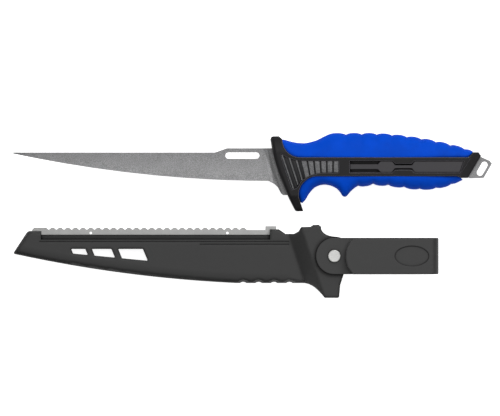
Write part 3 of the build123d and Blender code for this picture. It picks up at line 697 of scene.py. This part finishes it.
class KNIFE_OT_pads(bpy.types.Operator):
    """Ribbed pads behind the guard and inserts in the rails"""

    bl_idname = "knife.pads"
    bl_label = "Pads and inserts"

    def ribs(self, detail):
        """Block of saw-tooth ribs, leaning at the guard and upright at the rail."""
        rings = []
        first_x, pitch = 9.0, 4.24
        low_y, high_y = -17, 13
        foot, crest = 8.9, 1.5
        lean, upright_rib = 0.17, 8
        toothed_ribs = 3
        # Profiles of a rib: shares of the pitch and of the crest's height.
        tooth = [(0.0, 0.5), (0.04, 1.0), (0.2, 1.0), (0.3, 0.5), (0.75, 0.65)]
        soft = [(-0.17, 0.35), (-0.14, 0.9), (-0.09, 1.0), (0.56, 1.0), (0.6, 0.9), (0.63, 0.35)]
        for rib in range(-1, 10):
            for share, height in tooth if rib < toothed_ribs else soft:
                place = rib + share
                x = first_x + pitch * place
                turned = min(upright_rib, max(0.0, place)) / upright_rib
                slant = lean * (1 + math.cos(math.pi * turned))
                low = (x - low_y * slant, low_y)
                high = (x - high_y * slant, high_y)
                rings.append((*low, *high, crest * height))
        piece = sweep("ribbed_pad_left", rings)
        select_only(piece)
        bpy.ops.object.mode_set(mode="EDIT")
        bpy.ops.mesh.select_all(action="SELECT")
        bpy.ops.transform.translate(value=(0, 0, foot * MM))
        bpy.ops.object.mode_set(mode="OBJECT")
        border = [
            (45.5, 3.8),
            (24.0, 3.8),
            (17.5, 4.2),
            (11.5, 6.1),
            (7.6, 8.0),
            (6.6, 8.2),
            (6.3, 7.6),
            (13.6, -14.6),
            (14.4, -15.1),
            (15.6, -14.9),
            (16.8, -14.2),
            (17.6, -12.4),
            (20.2, -9.3),
            (25.8, -5.7),
            (33.8, -3.8),
            (45.5, -3.8),
        ]
        keep_inside(piece, outline_block("pad_border", border, low=8.5, high=11))
        round_edges(piece, detail.rib, degrees=30, segments=2)
        return piece

    def execute(self, context):
        finish = context.scene.knife_finishes
        detail = context.scene.knife_detail
        # Moulded against a woven texture: the rib tops carry a painted highlight, a pale grey
        # line, and the valleys keep the dark weave.
        rubber = ribbed_rubber("moulded_rubber", finish.valley, finish.pad)
        # Moulded in a polished tool: a smoother and lighter grey than the nylon round it,
        # with an orange peel of 0.6 mm that makes the sheen uneven, and a faint painted
        # highlight on its edges.
        gloss = moulded_plastic(
            "polished_abs",
            finish.insert,
            rough=0.45,
            grain_mm=0.6,
            grain=0.1,
            level=0.3,
            rounding_mm=0.3,
            edge_highlight=0.2,
        )
        left = self.ribs(detail)
        right = other_side(left, "ribbed_pad_right")
        for piece, side in ((left, "left"), (right, "right")):
            piece.data.materials.clear()
            piece.data.materials.append(rubber)
            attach(piece, "knife")
            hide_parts("thumb_pad_" + side)
            dress("rail_insert_" + side, gloss, detail.edge)
        return {"FINISHED"}


class KNIFE_OT_pins(bpy.types.Operator):
    """Satin metal of the pins, the rivet and its washer"""

    bl_idname = "knife.pins"
    bl_label = "Pins and rivet"

    def execute(self, context):
        finish = context.scene.knife_finishes
        # Turned, then tumbled in a drum: a bright, fine satin that shows the head's dome.
        # The real scratches are about 0.1 mm, drawn coarser to be seen.
        satin = blasted_steel(
            "satin_aluminium", finish.rivet, speck=0.2, rough=0.45, metal_share=0.6, fleck_mm=0.4
        )
        for node in ("tang_pin_1", "tang_pin_2", "tang_pin_3", "clip_rivet", "rivet_washer"):
            dress(node, satin)
        return {"FINISHED"}


class KNIFE_OT_sheath(bpy.types.Operator):
    """Moulded shells of the sheath, with the scaler strip"""

    bl_idname = "knife.sheath"
    bl_label = "Sheath"

    def execute(self, context):
        finish = context.scene.knife_finishes
        # Moulded in a spark-eroded tool, which gives the matt, even charcoal of the
        # shells. The belly rolls away from the light and the shelf lies under the strip, and
        # both carry painted shade. The real pebbles are about 0.05 mm, drawn coarser to be seen.
        shell = moulded_plastic(
            "moulded_polypropylene",
            finish.sheath,
            rough=0.5,
            grain_mm=0.35,
            grain=0.3,
            level=0.3,
            rounding_mm=3.0,
            shell=True,
        )
        for side in ("front", "rear"):
            dress("sheath_" + side, shell)
        # Stamped, then blasted with glass beads: an even pale satin without streaks. The
        # real pits are about 0.1 mm, drawn coarser to be seen.
        strip = blasted_steel(
            "blasted_stainless",
            finish.strip,
            speck=0.12,
            rough=0.45,
            metal_share=0.6,
            fleck_mm=0.4,
        )
        dress("scaler_strip", strip)
        return {"FINISHED"}


class KNIFE_OT_clip(bpy.types.Operator):
    """Moulded belt clip"""

    bl_idname = "knife.clip"
    bl_label = "Belt clip"

    def execute(self, context):
        finish = context.scene.knife_finishes
        # Moulded in a tool with fine spark erosion: a soft sheen with lighter rims where
        # the light catches the edges. The pebbles are drawn coarser than the real 0.05 mm.
        nylon = moulded_plastic(
            "moulded_clip_nylon",
            finish.clip,
            rough=0.5,
            grain_mm=0.35,
            grain=0.25,
            level=0.3,
            rounding_mm=0.8,
        )
        dress("belt_clip", nylon)
        return {"FINISHED"}


class KNIFE_OT_studio(bpy.types.Operator):
    """White table, soft light and the camera straight above"""

    bl_idname = "knife.studio"
    bl_label = "Studio"

    def softbox(self, name, place, size, power):
        """Square softbox that points at the middle of the table."""
        light = bpy.data.lights.new(name, "AREA")
        light.energy = power
        light.size = size
        lamp = bpy.data.objects.new(name, light)
        lamp.location = place
        lamp.rotation_euler = (-Vector(place)).to_track_quat("-Z", "Y").to_euler()
        bpy.context.scene.collection.objects.link(lamp)

    def execute(self, context):
        studio = context.scene.knife_studio
        bpy.ops.object.select_all(action="DESELECT")
        side, sunk = 6, 0.1 * MM
        bpy.ops.mesh.primitive_plane_add(size=side, location=(0, 0, -sunk))
        floor = context.object
        floor.name = "table"
        # Pressed against a smooth plate, which gives a plain matt white without grain. It
        # glows for the camera and in reflections, so that it is seen as an even ground.
        made = bpy.data.materials.new("white_laminate")
        made.use_nodes = True
        tree = made.node_tree
        tree.nodes.clear()
        matt = add(tree, "BsdfDiffuse", {"Color": (0.8, 0.8, 0.8, 1)})
        path = add(tree, "LightPath")
        glow_strength = 0.85
        seen = path.outputs["Is Camera Ray"]
        for ray in ("Is Glossy Ray", "Is Transmission Ray"):
            sources = {0: seen, 1: path.outputs[ray]}
            seen = add(tree, "Math", None, sources, operation="MAXIMUM").outputs[0]
        lift = add(tree, "Math", {1: glow_strength}, {0: seen}, operation="MULTIPLY")
        glow = add(tree, "Emission", None, {"Strength": lift.outputs[0]})
        both = add(tree, "AddShader", None, {0: matt.outputs[0], 1: glow.outputs[0]})
        finish_material(tree, both)
        floor.data.materials.append(made)

        world = bpy.data.worlds.new("room")
        world.use_nodes = True
        context.scene.world = world
        back = world.node_tree.nodes["Background"]
        back.inputs["Color"].default_value = (1, 1, 1, 1)
        back.inputs["Strength"].default_value = studio.sky

        # Places and sides in metres.
        self.softbox("top", (0.3, 0.5, 4.5), 2.2, studio.top)
        self.softbox("key", (0.6, 1.15, 1.3), 1.1, studio.key)
        self.softbox("near", (0.3, -1.3, 0.9), 1.0, studio.fill)
        self.softbox("left", (-1.4, -0.1, 0.9), 1.0, studio.fill)

        camera = bpy.data.objects.new("camera", bpy.data.cameras.new("camera"))
        camera.data.lens = studio.lens
        distance = studio.lens / camera.data.sensor_width * studio.width
        camera.location = Vector(studio.middle) + Vector((0, 0, distance))
        camera.data.clip_end = 20
        context.scene.collection.objects.link(camera)
        context.scene.camera = camera
        context.scene.view_settings.view_transform = "Standard"
        return {"FINISHED"}


OPERATORS = [
    KNIFE_OT_blade,
    KNIFE_OT_cores,
    KNIFE_OT_grips,
    KNIFE_OT_pads,
    KNIFE_OT_pins,
    KNIFE_OT_sheath,
    KNIFE_OT_clip,
    KNIFE_OT_studio,
]


class KNIFE_PT_panel(bpy.types.Panel):
    """Colours, sizes and the steps in order"""

    bl_idname = "KNIFE_PT_panel"
    bl_label = "Fillet knife"
    bl_space_type = "VIEW_3D"
    bl_region_type = "UI"
    bl_category = "Knife"

    def draw(self, context):
        for group in (
            context.scene.knife_finishes,
            context.scene.knife_detail,
            context.scene.knife_studio,
        ):
            box = self.layout.box()
            for name in group.__annotations__:
                box.prop(group, name)
        for operator in OPERATORS:
            self.layout.operator(operator.bl_idname)


CLASSES = [KnifeFinishes, KnifeDetail, StudioSetup, *OPERATORS, KNIFE_PT_panel]


def register():
    for cls in CLASSES:
        bpy.utils.register_class(cls)
    bpy.types.Scene.knife_finishes = PointerProperty(type=KnifeFinishes)
    bpy.types.Scene.knife_detail = PointerProperty(type=KnifeDetail)
    bpy.types.Scene.knife_studio = PointerProperty(type=StudioSetup)


def unregister():
    del bpy.types.Scene.knife_studio
    del bpy.types.Scene.knife_detail
    del bpy.types.Scene.knife_finishes
    for cls in reversed(CLASSES):
        bpy.utils.unregister_class(cls)


def main():
    """Runs every step."""
    register()
    bpy.ops.knife.blade()
    bpy.ops.knife.cores()
    bpy.ops.knife.grips()
    bpy.ops.knife.pads()
    bpy.ops.knife.pins()
    bpy.ops.knife.sheath()
    bpy.ops.knife.clip()
    bpy.ops.knife.studio()


if __name__ == "__main__":
    main()
